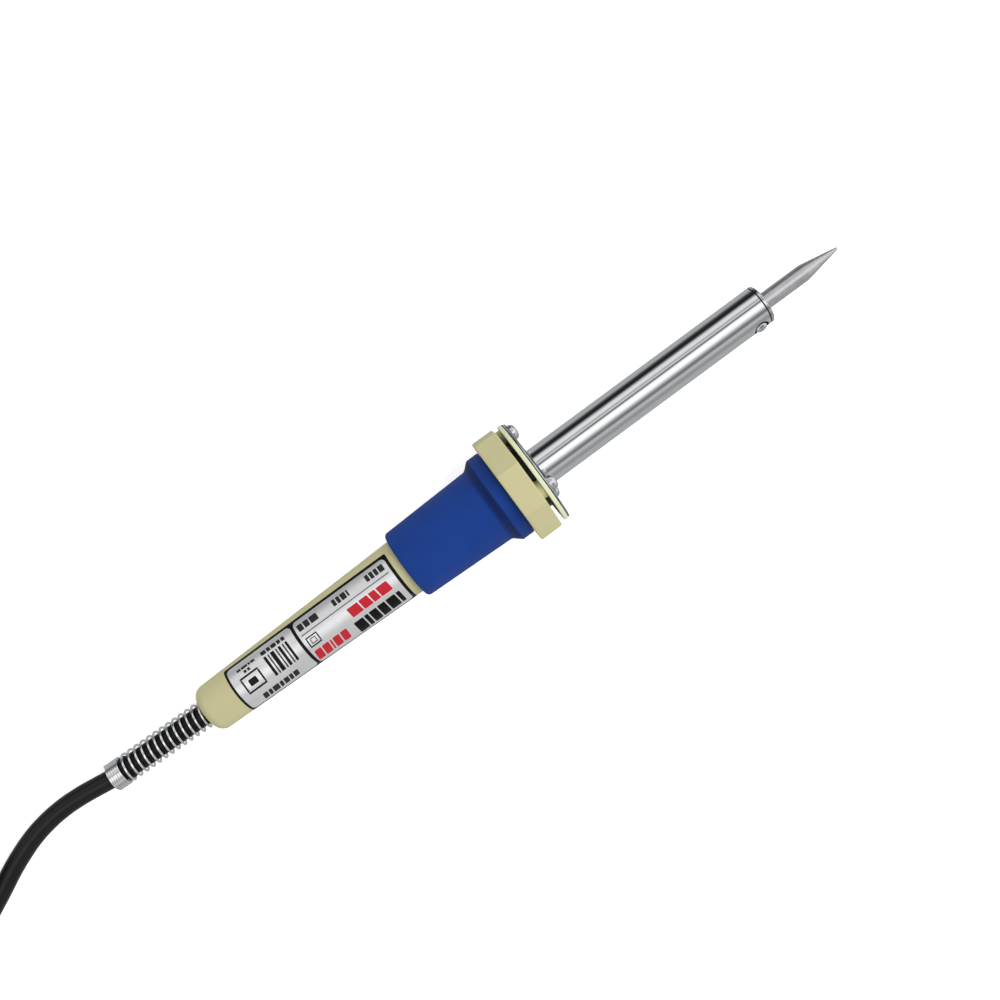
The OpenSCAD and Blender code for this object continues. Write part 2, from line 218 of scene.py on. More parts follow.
def sweep(name, centres, frames, radius, matrix, sides=12):
    """A round wire through the centres. frames gives two directions across the wire at each."""
    verts, normals, faces = [], [], []
    for c, (a, b) in zip(centres, frames):
        for k in range(sides):
            t = 2 * math.pi * k / sides
            n = a * math.cos(t) + b * math.sin(t)
            verts.append(c + n * radius)
            normals.append(n)
    for i in range(len(centres) - 1):
        for k in range(sides):
            n = (k + 1) % sides
            faces.append((i * sides + k, i * sides + n, (i + 1) * sides + n, (i + 1) * sides + k))
    faces.append(list(range(sides))[::-1])
    faces.append([(len(centres) - 1) * sides + k for k in range(sides)])
    return finish_mesh(name, verts, faces, matrix, normals)


def add(name, mesh, material, body="iron", replaces=()):
    o = bpy.data.objects.new(name, mesh)
    bpy.context.scene.collection.objects.link(o)
    mesh.materials.clear()
    mesh.materials.append(material)
    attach(o, body)
    if replaces:
        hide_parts(*replaces)
    return o


# ---------------------------------------------------------------- sizes, as in the CAD part
HANDLE_LEN = 113
OCTAGON_BACK = 105.7
FACET_R = 16.2
DISC_U, SHIELD_U, FLANGE_U, BARREL_U = 114.4, 115.6, 116.3, 116.9
BARREL_END, NOSE_SEAM, NOSE_END = 194.8, 195.15, 196.4
BARREL_R, WALL = 6, 0.5
BUSH_U, BUSH_R, BORE_R = 184.4, 5.48, 2.66
SCREW_CIRCLE_R = 12.8
SCREW_HOLE_R = 1.55
GRIP_U, GRIP_NECK_U, GRIP_FLARE_U = 70.3, 99.3, 101.7
GRIP_BACK_R, GRIP_NECK_R, GRIP_FLARE_R = 10.77, 11.68, 13.8
SPIGOT_R, CAVITY_U, CAVITY_R = 10.8, 57, 6.5
REAR_R, REAR_ROUND, HANDLE_TAPER = 7.1, 3, 0.0232
REAR_WALL, REAR_HOLE_R, CORD_SPACE_R = 8, 3.6, 5.4
DISC_R, SHIELD_R, DISC_HOLE_R = 16.4, 16.2, 5.3
FLANGE_SCREW_R, FLANGE_SCREW_H = 2.45, 1.8
TIP_BACK, CONE_U, TIP_END, TIP_R = 150, 210.9, 222.9, 2.6
TIP_SCREW_R, TIP_SCREW_H, TIP_SHANK_R, TIP_SHANK_FROM = 1.9, 1.35, 1.25, 2.72


# ---------------------------------------------------------------- materials
def fill_ramp(ramp, stops):
    while len(ramp.elements) < len(stops):
        ramp.elements.new(0.5)
    for element, (place, color) in zip(ramp.elements, stops):
        element.position, element.color = place, (*color, 1)


class Paint:
    """A principled material whose texture space is the tool's frame, in millimetres."""

    def __init__(self, name, color, roughness, metallic=0.0, **sockets):
        self.material = bpy.data.materials.new(name)
        self.material.use_nodes = True
        self.tree = self.material.node_tree
        self.shader = self.tree.nodes["Principled BSDF"]
        self.shader.inputs["Base Color"].default_value = (*color, 1)
        self.shader.inputs["Roughness"].default_value = roughness
        self.shader.inputs["Metallic"].default_value = metallic
        for key, value in sockets.items():
            self.shader.inputs[key.replace("_", " ")].default_value = value
        place = self.tree.nodes.new("ShaderNodeTexCoord").outputs["Object"]
        turned = self.tree.nodes.new("ShaderNodeMapping")
        turned.vector_type = "POINT"
        turned.inputs["Scale"].default_value = (1000, 1000, 1000)
        turned.inputs["Rotation"].default_value = TURN.inverted().to_euler()
        self.link(place, turned.inputs["Vector"])
        self.place = turned.outputs["Vector"]

    def link(self, a, b):
        self.tree.links.new(a, b)

    def space(self, stretch=(1, 1, 1)):
        node = self.tree.nodes.new("ShaderNodeMapping")
        node.inputs["Scale"].default_value = stretch
        self.link(self.place, node.inputs["Vector"])
        return node.outputs["Vector"]

    def along(self):
        """u, in millimetres."""
        node = self.tree.nodes.new("ShaderNodeSeparateXYZ")
        self.link(self.place, node.inputs[0])
        return self.times(node.outputs[0], -AXIS.dot(START) / MM, "ADD")

    def radius(self):
        """The distance from the tool's axis, in millimetres."""
        moved = self.tree.nodes.new("ShaderNodeVectorMath")
        moved.operation = "SUBTRACT"
        moved.inputs[1].default_value = (0, SIDE.dot(START) / MM, UP.dot(START) / MM)
        self.link(self.place, moved.inputs[0])
        flat = self.tree.nodes.new("ShaderNodeVectorMath")
        flat.operation = "MULTIPLY"
        flat.inputs[1].default_value = (0, 1, 1)
        self.link(moved.outputs[0], flat.inputs[0])
        length = self.tree.nodes.new("ShaderNodeVectorMath")
        length.operation = "LENGTH"
        self.link(flat.outputs[0], length.inputs[0])
        return length.outputs["Value"]

    def noise(self, scale, stretch=(1, 1, 1), detail=3, roughness=0.55):
        node = self.tree.nodes.new("ShaderNodeTexNoise")
        node.inputs["Scale"].default_value = scale
        node.inputs["Detail"].default_value = detail
        node.inputs["Roughness"].default_value = roughness
        self.link(self.space(stretch), node.inputs["Vector"])
        return node.outputs["Fac"]

    def edges(self):
        """1 on convex edges, 0 on flats."""
        geometry = self.tree.nodes.new("ShaderNodeNewGeometry")
        return self.scaled(geometry.outputs["Pointiness"], 0.52, 0.6, 0, 1)

    def scaled(self, value, low, high, to_low, to_high):
        node = self.tree.nodes.new("ShaderNodeMapRange")
        for key, x in zip(("From Min", "From Max", "To Min", "To Max"), (low, high, to_low, to_high)):
            node.inputs[key].default_value = x
        self.link(value, node.inputs["Value"])
        return node.outputs["Result"]

    def times(self, a, b, operation="MULTIPLY"):
        node = self.tree.nodes.new("ShaderNodeMath")
        node.operation = operation
        for socket, x in zip(node.inputs, (a, b)):
            if isinstance(x, (int, float)):
                socket.default_value = x
            else:
                self.link(x, socket)
        return node.outputs[0]

    def colors(self, value, stops):
        """A colour ramp over the value, from (position, colour) stops."""
        node = self.tree.nodes.new("ShaderNodeValToRGB")
        fill_ramp(node.color_ramp, stops)
        self.link(value, node.inputs["Fac"])
        return node.outputs["Color"]

    def mix(self, amount, a, b):
        node = self.tree.nodes.new("ShaderNodeMix")
        node.data_type = "RGBA"
        for socket, x in ((node.inputs[6], a), (node.inputs[7], b)):
            if isinstance(x, tuple):
                socket.default_value = (*x, 1)
            else:
                self.link(x, socket)
        self.link(amount, node.inputs[0])
        return node.outputs[2]

    def base(self, color):
        self.link(color, self.shader.inputs["Base Color"])
        return self

    def rough(self, value):
        self.link(value, self.shader.inputs["Roughness"])
        return self

    def bump(self, height, distance, strength=1.0):
        node = self.tree.nodes.new("ShaderNodeBump")
        node.inputs["Distance"].default_value = distance * MM
        node.inputs["Strength"].default_value = strength
        self.link(height, node.inputs["Height"])
        previous = self.shader.inputs["Normal"].links
        if previous:
            self.link(previous[0].from_socket, node.inputs["Normal"])
        self.link(node.outputs["Normal"], self.shader.inputs["Normal"])
        return self


# Near-black colour of the shade painted onto metals.
PAINTED_SHADE = (0.015, 0.015, 0.017)


def metal(name, color, low, high, grain=(0.02, 1, 1), grain_scale=6, bump=0.004, tint=0.9,
          edge=None, dark=None):
    """Steel or plating: grain in one direction, roughness that varies in clouds from low to high, and edges
    of another colour. dark(paint) gives the share of painted shade, such as in the groove of a seam and
    inside a tube."""
    p = Paint(name, color, low, 1.0)
    cloud = p.noise(0.35, detail=4)
    lines = p.noise(grain_scale, grain, detail=2)
    darker = tuple(x * tint for x in color)
    tone = p.colors(cloud, [(0.35, darker), (0.62, color)])
    if edge:
        tone = p.mix(p.edges(), tone, edge)
    grey = p.scaled(p.times(cloud, lines), 0.12, 0.38, low, high)
    # Painted shade: where dark(paint) says, the colour goes near black and the finish rougher.
    if dark:
        share = dark(p)
        tone = p.mix(share, tone, PAINTED_SHADE)
        grey = p.times(grey, p.times(share, 0.5), "MAXIMUM")
    p.base(tone)
    p.rough(grey)
    p.bump(lines, bump)
    return p.material


def plastic(name, color, rough, grain=7.0, bump=0.006, shade=0.93, edge=1.06, dark=None, **sockets):
    """Moulded plastic: fine texture, slight mottling, edges polished by handling. dark(paint) gives the
    share of painted shade."""
    p = Paint(name, color, rough, 0.0, **sockets)
    cloud = p.noise(0.12, detail=5)
    fine = p.noise(grain, detail=2)
    low, light = tuple(x * shade for x in color), tuple(min(1, x * edge) for x in color)
    tone = p.mix(p.edges(), p.colors(cloud, [(0.3, low), (0.7, color)]), light)
    if dark:
        # Painted shade: the colour goes near black where dark(paint) says.
        tone = p.mix(dark(p), tone, tuple(x * 0.03 for x in color))
    p.base(tone)
    p.rough(p.scaled(p.noise(0.5, detail=4), 0.3, 0.7, rough * 0.88, min(1, rough * 1.12)))
    p.bump(fine, bump)
    return p.material


# Painted shade: the inside of the tube and the wall of the screw hole are painted near black.
chrome = metal("barrel_chrome", (0.90, 0.905, 0.91), 0.04, 0.085, (0.004, 1, 1), 3.0, 0.0006, 0.975,
               dark=lambda p: p.scaled(p.radius(), 5.9, 5.82, 0, 1))
# Painted shade: the ring is painted near black behind its seam, where the groove against the barrel is in
# shade.
ring_steel = metal("turned_steel", (0.78, 0.78, 0.79), 0.10, 0.20, (6, 0.05, 0.05), 1.5, 0.002,
                   dark=lambda p: p.scaled(p.along(), NOSE_SEAM - 0.01, NOSE_SEAM - 0.02, 0, 1))
tip_steel = metal("tip_plating", (0.80, 0.80, 0.81), 0.34, 0.46, (0.05, 1, 1), 2.6, 0.004, 0.9,
                  (0.92, 0.92, 0.93))
sheet_steel = metal("pressed_sheet", (0.68, 0.69, 0.69), 0.16, 0.32, (1, 0.3, 0.3), 2.0, 0.006, 0.85,
                    (0.8, 0.8, 0.8))
# Painted shadow: the shield's back edge, in the gap against the insulating washer, is painted near black.
rolled_steel = metal("rolled_sheet", (0.66, 0.67, 0.68), 0.22, 0.40, (1, 0.15, 1), 2.4, 0.006, 0.84,
                     (0.76, 0.76, 0.78),
                     lambda p: p.scaled(p.along(), SHIELD_U + 0.32, SHIELD_U + 0.22, 0, 0.9))
screw_plate = metal("screw_plating", (0.86, 0.86, 0.87), 0.12, 0.28, (1, 1, 1), 1.8, 0.006, 0.82,
                    (0.88, 0.88, 0.89))
wire_steel = metal("spring_wire", (0.95, 0.95, 0.96), 0.06, 0.14, (1, 1, 1), 4.0, 0.001, 0.94)
# Painted shade: the spigot's ring in the narrow gap between the handle and the washer is painted near black.
cream = plastic("cream_moulding", (0.565, 0.530, 0.290), 0.38, 5.0, 0.003, 0.95, 1.05,
                Specular_IOR_Level=0.35, dark=lambda p: p.times(
                    p.scaled(p.along(), HANDLE_LEN + 0.05, HANDLE_LEN + 0.1, 0, 1),
                    p.scaled(p.radius(), SPIGOT_R + 0.1, SPIGOT_R + 0.05, 0, 1)))
# Painted shade: a darker band on the grip from u 99 to 102, on the flare's back-facing slope.
blue = plastic("blue_grip", (0.010, 0.048, 0.262), 0.55, 6.0, 0.010, 0.88, 1.2, Specular_IOR_Level=0.12,
               dark=lambda p: p.times(p.scaled(p.along(), 98.6, 100.4, 0, 0.55),
                                      p.scaled(p.along(), 102.1, 101.6, 0, 1)))
black_rubber = plastic("black_rubber", (0.006, 0.006, 0.0065), 0.36, 5.0, 0.006, 0.8, 1.6,
                       Specular_IOR_Level=0.25)
cord_black = plastic("cord_jacket", (0.010, 0.010, 0.0105), 0.30, 3.0, 0.008, 0.8, 1.4,
                     Specular_IOR_Level=0.3)
plug_black = plastic("plug_plastic", (0.018, 0.018, 0.019), 0.42, 4.0, 0.010, 0.8, 1.7)
board = plastic("insulating_board", (0.76, 0.80, 0.56), 0.75, 3.5, 0.02, 0.86, 1.05,
                Specular_IOR_Level=0.2)
print_black = plastic("label_black", (0.006, 0.006, 0.006), 0.32, 6.0, 0.002, 0.9, 1.1,
                      Specular_IOR_Level=0.15)
print_red = plastic("label_red", (0.50, 0.018, 0.032), 0.34, 6.0, 0.002, 0.9, 1.05,
                    Specular_IOR_Level=0.15)
print_grey = plastic("label_grey", (0.022, 0.022, 0.024), 0.36, 6.0, 0.002, 0.9, 1.1,
                     Specular_IOR_Level=0.15)
brass = metal("terminal_brass", (0.70, 0.52, 0.24), 0.2, 0.35)
copper = metal("bare_copper", (0.72, 0.36, 0.22), 0.25, 0.4, (0.05, 1, 1), 9.0, 0.02)
hot_steel = metal("heated_steel", (0.30, 0.27, 0.24), 0.35, 0.55, tint=0.6)
resistance = metal("resistance_wire", (0.30, 0.28, 0.27), 0.35, 0.5, tint=0.7)
aluminium = metal("crimped_aluminium", (0.74, 0.74, 0.75), 0.28, 0.42)
nickel = metal("pin_nickel", (0.66, 0.64, 0.60), 0.12, 0.26, (0.05, 1, 1), 5.0, 0.003, 0.9,
               (0.8, 0.79, 0.76))
mica_sheet = plastic("mica", (0.42, 0.30, 0.17), 0.3, 0.8, 0.01, 0.7, 1.1)
ceramic = plastic("white_ceramic", (0.80, 0.78, 0.74), 0.55, 4.0, 0.01)
glass_fibre = plastic("glass_fibre", (0.74, 0.71, 0.60), 0.8, 8.0, 0.05, 0.85)
block_white = plastic("terminal_block", (0.78, 0.78, 0.74), 0.45)
core_blue = plastic("core_insulation", (0.02, 0.06, 0.25), 0.4)


def foil_material():
    """Metallised foil: long fine brushing and a soft cloudy sheen."""
    p = Paint("label_foil", (0.82, 0.82, 0.83), 0.4, 0.7)
    lines = p.noise(4.0, (0.03, 1, 1), detail=4)
    cloud = p.noise(0.08, detail=3)
    tone = p.colors(cloud, [(0.3, (0.86, 0.86, 0.87)), (0.7, (0.94, 0.94, 0.94))])
    p.base(tone)
    p.rough(p.scaled(lines, 0.3, 0.7, 0.32, 0.48))
    p.bump(lines, 0.003)
    p.bump(cloud, 0.02)
    return p.material


def strap_material():
    """Woven strap: crossed threads a quarter of a millimetre apart."""
    p = Paint("woven_strap", (0.03, 0.03, 0.032), 0.85, 0.0, Sheen_Weight=0.3)
    weave = p.tree.nodes.new("ShaderNodeTexBrick")
    weave.inputs["Scale"].default_value = 1.6
    p.link(p.space(), weave.inputs["Vector"])
    cloud = p.noise(1.2, detail=3)
    p.base(p.colors(cloud, [(0.3, (0.018, 0.018, 0.02)), (0.7, (0.05, 0.05, 0.053))]))
    p.bump(weave.outputs["Fac"], 0.08, 0.6)
    p.bump(p.noise(5, detail=2), 0.05)
    return p.material


foil = foil_material()
strap_cloth = strap_material()


def handle_r(u):
    return REAR_R + HANDLE_TAPER * (u - REAR_ROUND)


def exact_round(mesh, matrix=TOOL):
    """True round normals about u on the faces that face away from the axis or towards it."""
    back = matrix.inverted()
    turn = matrix.to_3x3().normalized()
    mesh.shade_smooth()
    normals = []
    for p in mesh.polygons:
        for i in p.vertices:
            q = back @ mesh.vertices[i].co
            radial = (turn @ Vector((0, q.y, q.z))).normalized()
            side = radial.dot(p.normal)
            normals.append(radial if side > 0.95 else -radial if side < -0.95 else p.normal.copy())
    mesh.normals_split_custom_set(normals)
    return mesh


def at(u, r=0, degrees=0):
    """A frame on the tool at radius r and angle from v, with x along u."""
    return TOOL @ Matrix.Translation((u, *polar(r, degrees)))


def pan_head(name, r, h, matrix, shank_r, shank_from):
    """A cross-recessed pan head on x = 0, with its shank behind."""
    solid = lathe(name, [
        (shank_from, 0), (shank_from, shank_r, 0.1), (-0.02, shank_r, 0.05), (-0.02, r, 0.16),
        (h * 0.42, r, 0.3 * r), (h * 0.86, r * 0.72, 0.35 * r), (h, r * 0.3, 0.2), (h, 0),
    ], matrix, 48)
    arm, width, deep = r * 1.16, r * 0.27, h * 0.62
    recess_turn = 28
    for turned in (0, 90):
        bm = bmesh.new()
        for x, y, z in ((h - deep, arm * 0.275, width * 0.35), (h + 1, arm * 0.5, width * 0.5)):
            for a, b in ((-y, -z), (-y, z), (y, -z), (y, z)):
                bm.verts.new((x, a, b))
        bmesh.ops.convex_hull(bm, input=bm.verts[:])
        bmesh.ops.recalc_face_normals(bm, faces=bm.faces)
        turn = Matrix.Rotation(math.radians(turned + recess_turn), 4, "X")
        bmesh.ops.transform(bm, matrix=matrix @ turn, verts=bm.verts)
        cutter = bpy.data.meshes.new("recess")
        bm.to_mesh(cutter)
        bm.free()
        solid = boolean(solid, cutter)
    return creased(solid, 34)


def cylinder(name, u1, u2, r, matrix, segments=64):
    return lathe(name, [(u1, 0), (u1, r, 0.001), (u2, r, 0.001), (u2, 0)], matrix, segments, steps=1)


def rounded(outline, radius, steps=4):
    """A convex outline with its corners rounded, run anticlockwise."""
    out = []
    n = len(outline)
    for i in range(n):
        p = Vector(outline[i])
        a = (Vector(outline[i - 1]) - p).normalized()
        b = (Vector(outline[(i + 1) % n]) - p).normalized()
        half = a.angle(b) / 2
        start = p + a * radius / math.tan(half)
        centre = p + (a + b).normalized() * radius / math.sin(half)
        arm = start - centre
        turn = math.pi - 2 * half
        for k in range(steps + 1):
            t = turn * k / steps
            out.append((centre.x + arm.x * math.cos(t) - arm.y * math.sin(t),
                        centre.y + arm.x * math.sin(t) + arm.y * math.cos(t)))
    return out


def loft(name, sections, matrix, ring=False, degrees=None):
    """Walls between outlines with the same number of points. The ends are closed, or joined in a ring."""
    bm = bmesh.new()
    loops = [[bm.verts.new(p) for p in s] for s in sections]
    count = len(loops[0])
    pairs = list(zip(loops, loops[1:])) + ([(loops[-1], loops[0])] if ring else [])
    for a, b in pairs:
        for k in range(count):
            n = (k + 1) % count
            bm.faces.new((a[k], a[n], b[n], b[k]))
    if not ring:
        bm.faces.new(loops[0][::-1])
        bm.faces.new(loops[-1])
    bmesh.ops.recalc_face_normals(bm, faces=bm.faces)
    bmesh.ops.transform(bm, matrix=matrix, verts=bm.verts)
    mesh = bpy.data.meshes.new(name)
    bm.to_mesh(mesh)
    bm.free()
    return creased(mesh, degrees) if degrees else weighted(mesh)


# ---------------------------------------------------------------- tip and its screw
add("soldering_tip", lathe("soldering_tip", [
    (TIP_BACK, 0), (TIP_BACK, TIP_R, 0.3), (CONE_U, TIP_R, 6), (TIP_END - 0.28, 0.44, 0.36),
    (TIP_END, 0.02, 0.01), (TIP_END, 0),
]), tip_steel, "tip", ["tip"])

c, s = polar(1, TIP_SCREW_ANGLE)
SCREW = TOOL @ Matrix.Translation((TIP_SCREW_U, 0, 0)) @ Matrix(
    ((0, 1, 0, 0), (c, 0, s, 0), (s, 0, -c, 0), (0, 0, 0, 1)))
SEAT = 5.32
HEAD = SCREW @ Matrix.Translation((SEAT, 0, 0))
tip_clamp = pan_head("tip_clamp_screw", TIP_SCREW_R, TIP_SCREW_H, HEAD, TIP_SHANK_R, TIP_SHANK_FROM - SEAT)
add("tip_clamp_screw", tip_clamp, screw_plate, "tip_screw", ["tip_screw"])

bush = lathe("nose_ring", [
    (BUSH_U, BORE_R, 0.1), (BUSH_U, BUSH_R, 0.2), (NOSE_SEAM - 0.02, BUSH_R, 0.01),
    (NOSE_SEAM, BARREL_R, 0.06), (NOSE_END - 0.55, BARREL_R, 0.3), (NOSE_END - 0.2, BARREL_R - 0.35, 0.2),
    (NOSE_END, BARREL_R - 0.9, 0.3), (NOSE_END, BORE_R, 0.12),
], ring=True, segments=128)
bush = boolean(bush, cylinder("hole", 0, 8, TIP_SHANK_R + 0.06, SCREW, 32))
bush = exact_round(boolean(bush, cylinder("seat", SEAT - 0.04, 8, TIP_SCREW_R + 0.35, SCREW, 48)))
add("nose_ring", bush, ring_steel, replaces=["nose_bush"])

# ---------------------------------------------------------------- barrel
tube = lathe("barrel", [
    (FLANGE_U, BARREL_R, 0.05), (BARREL_END, BARREL_R, 0.08), (BARREL_END, BARREL_R - WALL, 0.05),
    (FLANGE_U, BARREL_R - WALL, 0.05),
], ring=True, segments=160)
tube = exact_round(boolean(tube, cylinder("hole", 2, 8, TIP_SCREW_R + 0.55, SCREW, 48)))
add("barrel", tube, chrome, replaces=["barrel_tube"])


def lobed(inset, u):
    """The flange's outline: a hub that narrows to three lobes round its screws."""
    hub_r, lobe_r, steps = 8.6, 3.2, 40
    points = []
    for k in range(180):
        a = 2 * k
        best = 0
        for lobe in SCREW_ANGLES:
            d = math.radians(a - lobe)
            for i in range(steps + 1):
                x = i / steps
                out, rho = x * SCREW_CIRCLE_R, hub_r - (hub_r - lobe_r) * x - inset
                inside = rho * rho - (out * math.sin(d)) ** 2
                if inside >= 0:
                    best = max(best, out * math.cos(d) + math.sqrt(inside))
        points.append((u, *polar(best, a)))
    return points


def circle_points(u, r, count=180):
    return [(u, *polar(r, 360 * k / count)) for k in range(count)]


flange = loft("barrel_flange_plate", [
    circle_points(FLANGE_U, BARREL_R),
    lobed(0.12, FLANGE_U), lobed(0, FLANGE_U + 0.12), lobed(0, BARREL_U - 0.14),
    lobed(0.05, BARREL_U - 0.05), lobed(0.16, BARREL_U),
    circle_points(BARREL_U, 6.8), circle_points(BARREL_U + 0.08, 6.6), circle_points(BARREL_U + 0.24, 6.35),
    circle_points(BARREL_U + 0.3, 6.15), circle_points(BARREL_U + 0.3, BARREL_R),
], TOOL, ring=True, degrees=50)
for a in SCREW_ANGLES:
    flange = boolean(flange, cylinder("hole", -2, 2, SCREW_HOLE_R, at(FLANGE_U, SCREW_CIRCLE_R, a), 32))
add("barrel_flange_plate", creased(flange, 40), sheet_steel, replaces=["barrel_flange"])


def drilled(name, mesh, u):
    for a in SCREW_ANGLES:
        mesh = boolean(mesh, cylinder("hole", -3, 3, SCREW_HOLE_R, at(u, SCREW_CIRCLE_R, a), 32))
    return creased(mesh, 40)


step_in, step_out, step_deep = SHIELD_R - 1.3, SHIELD_R - 1, 0.02
shield = lathe("heat_shield_disc", [
    (SHIELD_U, DISC_HOLE_R, 0.05), (SHIELD_U, step_in, 0.2), (SHIELD_U + step_deep, step_out, 0.2),
    (SHIELD_U + step_deep, SHIELD_R, 0.3), (FLANGE_U - step_deep, SHIELD_R, 0.3),
    (FLANGE_U - step_deep, step_out, 0.2), (FLANGE_U, step_in, 0.2), (FLANGE_U, DISC_HOLE_R, 0.05),
], ring=True, segments=160)
add("heat_shield_disc", drilled("heat_shield_disc", shield, SHIELD_U), rolled_steel,
    replaces=["heat_shield"])
disc = lathe("insulating_washer", [
    (DISC_U, DISC_HOLE_R, 0.05), (DISC_U, DISC_R, 0.25), (SHIELD_U, DISC_R, 0.25),
    (SHIELD_U, DISC_HOLE_R, 0.05),
], ring=True, segments=160)
add("insulating_washer", drilled("insulating_washer", disc, DISC_U), board,
    replaces=["insulating_disc"])
add("flange_screw_set", joined("flange_screw_set", [
    pan_head("screw", FLANGE_SCREW_R, FLANGE_SCREW_H,
             at(BARREL_U, SCREW_CIRCLE_R, a) @ Matrix.Rotation(math.radians(37 * i), 4, "X"),
             SCREW_HOLE_R - 0.1, -10)
    for i, a in enumerate(SCREW_ANGLES)
]), screw_plate, replaces=["flange_screws"])

# ---------------------------------------------------------------- handle and grip
body = lathe("body", [
    (0, REAR_HOLE_R, 0.4), (0, REAR_R, REAR_ROUND), (OCTAGON_BACK + 0.3, handle_r(OCTAGON_BACK + 0.3), 0.05),
    (OCTAGON_BACK + 0.3, CAVITY_R, 0.05), (CAVITY_U, CAVITY_R, 0.05), (CAVITY_U, CORD_SPACE_R, 0.05),
    (REAR_WALL, CORD_SPACE_R, 0.05), (REAR_WALL, REAR_HOLE_R, 0.05),
], ring=True, segments=160, steps=12)


def octagon(u, inset, radius=0.7):
    corners = [polar((FACET_R - inset) / math.cos(math.pi / 8), 45 * (k + 0.5)) for k in range(8)]
    return [(u, *p) for p in rounded(corners, radius, 5)]


def hole_ring(u, r):
    """A round ring with a point for each of the octagon's."""
    return [(u, *polar(r, math.degrees(math.atan2(w, v)))) for _, v, w in octagon(0, 0)]


collar = loft("collar", [
    hole_ring(OCTAGON_BACK, CAVITY_R), octagon(OCTAGON_BACK, 0.5), octagon(OCTAGON_BACK + 0.07, 0.26),
    octagon(OCTAGON_BACK + 0.24, 0.07), octagon(OCTAGON_BACK + 0.5, 0), octagon(HANDLE_LEN - 0.6, 0),
    octagon(HANDLE_LEN - 0.28, 0.09), octagon(HANDLE_LEN - 0.08, 0.3), octagon(HANDLE_LEN, 0.6),
    hole_ring(HANDLE_LEN, CAVITY_R),
], TOOL, ring=True)
bosses = [
    lathe("boss", [
        (HANDLE_LEN - 4, 1.5, 0.05), (HANDLE_LEN - 4, 2.5, 0.05), (HANDLE_LEN, 2.9, 0.05),
        (HANDLE_LEN + 0.2, 2.8, 0.1), (DISC_U, 2.8, 0.15), (DISC_U, 1.5, 0.05),
    ], at(0, SCREW_CIRCLE_R, a), 48, ring=True) for a in SCREW_ANGLES
]
# The spigot blocks the gap behind the washer; the cream material paints its ring there near black as shade.
spigot = lathe("spigot", [
    (HANDLE_LEN - 1, CAVITY_R, 0.05), (HANDLE_LEN - 1, SPIGOT_R, 0.05), (DISC_U, SPIGOT_R, 0.15),
    (DISC_U, CAVITY_R, 0.05),
], ring=True, segments=128)
add("handle_moulding", joined("handle_moulding", [body, collar, spigot, *bosses]), cream,
    replaces=["handle"])

add("grip", lathe("grip", [
    (GRIP_U, handle_r(GRIP_U) + 0.01, 0.05), (GRIP_U, GRIP_BACK_R, 1.2), (GRIP_NECK_U, GRIP_NECK_R, 1.6),
    (GRIP_FLARE_U, GRIP_FLARE_R, 0.9), (OCTAGON_BACK - 0.1, GRIP_FLARE_R, 0.35),
    (OCTAGON_BACK - 0.1, handle_r(OCTAGON_BACK - 0.1) + 0.01, 0.05),
], ring=True, segments=160, steps=10), blue, replaces=["grip_sleeve"])

# ---------------------------------------------------------------- label
LABEL_U, LABEL_END = 11.4, 67.9
LABEL_EDGE = 170.5
LABEL_WIDTHS = 18.9, 20.3
SEEN_ANGLE = 172.5


def seen(x, y):
    """A point that looks x along the label and y below the axis from the camera, as u and angle."""
    u = LABEL_U + x
    share = max(-0.999, min(0.999, y / handle_r(u)))
    depth = handle_r(u) * (1 - math.sqrt(1 - share * share))
    return u - depth * (AIM_U - u) / SHOT_DISTANCE, SEEN_ANGLE - math.degrees(math.acos(share))


def dense(points, step):
    """A closed outline with points no more than step apart."""
    out = []
    for a, b in zip(points, points[1:] + points[:1]):
        a, b = Vector(a), Vector(b)
        n = max(1, math.ceil((b - a).length / step))
        out += [tuple(a.lerp(b, k / n)) for k in range(n)]
    return out


def patch(name, outline, low, high):
    """A thin curved sheet on the handle, from an outline of (u, angle)."""
    bm = bmesh.new()
    bm.faces.new([bm.verts.new((u, a, 0)) for u, a in outline])
    angles = [a for _, a in outline]
    facet = 4
    cut = facet * math.ceil(min(angles) / facet)
    while cut < max(angles):
        everything = bm.verts[:] + bm.edges[:] + bm.faces[:]
        bmesh.ops.bisect_plane(bm, geom=everything, plane_co=(0, cut, 0), plane_no=(0, 1, 0))
        cut += facet
    made = bmesh.ops.extrude_face_region(bm, geom=bm.faces[:])["geom"]
    raised = {v for v in made if isinstance(v, bmesh.types.BMVert)}
    for v in bm.verts:
        r = handle_r(v.co.x) + (high if v in raised else low)
        v.co = TOOL @ Vector((v.co.x, *polar(r, v.co.y)))
    bmesh.ops.recalc_face_normals(bm, faces=bm.faces)
    mesh = bpy.data.meshes.new(name)
    bm.to_mesh(mesh)
    bm.free()
    return creased(mesh, 30)


def label_width(u):
    share = (u - LABEL_U) / (LABEL_END - LABEL_U)
    return LABEL_WIDTHS[0] + (LABEL_WIDTHS[1] - LABEL_WIDTHS[0]) * share


def edge_angle(u, arc):
    return LABEL_EDGE - math.degrees(arc / handle_r(u))


def block(x0, x1, y0, y1, radius=0.22, slant=0.0):
    """A rounded rectangle of print, leaning by slant at its upper side."""
    flat = rounded([(x0, y0), (x1, y0), (x1, y1), (x0, y1)], radius, 3)
    return [seen(x + slant * (y1 - y), y) for x, y in dense(flat, 0.7)]


def row(x0, x1, y0, y1, shares, slant=0.0, radius=0.2, gap=0.36):
    """Plain blocks side by side, which stand where the real label has writing."""
    total = sum(shares)
    room = x1 - x0 - gap * (len(shares) - 1)
    out, x = [], x0
    for share in shares:
        wide = room * share / total
        out.append(block(x, x + wide, y0, y1, min(radius, wide / 2.2), slant))
        x += wide + gap
    return out


def hollow(x0, x1, y0, y1, line, radius):
    """A rectangle's outline in four strips."""
    low, high = y0 + line + 0.02, y1 - line - 0.02
    sides = ((x0, x1, y0, y0 + line), (x0, x1, y1 - line, y1),
             (x0, x0 + line, low, high), (x1 - line, x1, low, high))
    return [block(*side, radius) for side in sides]


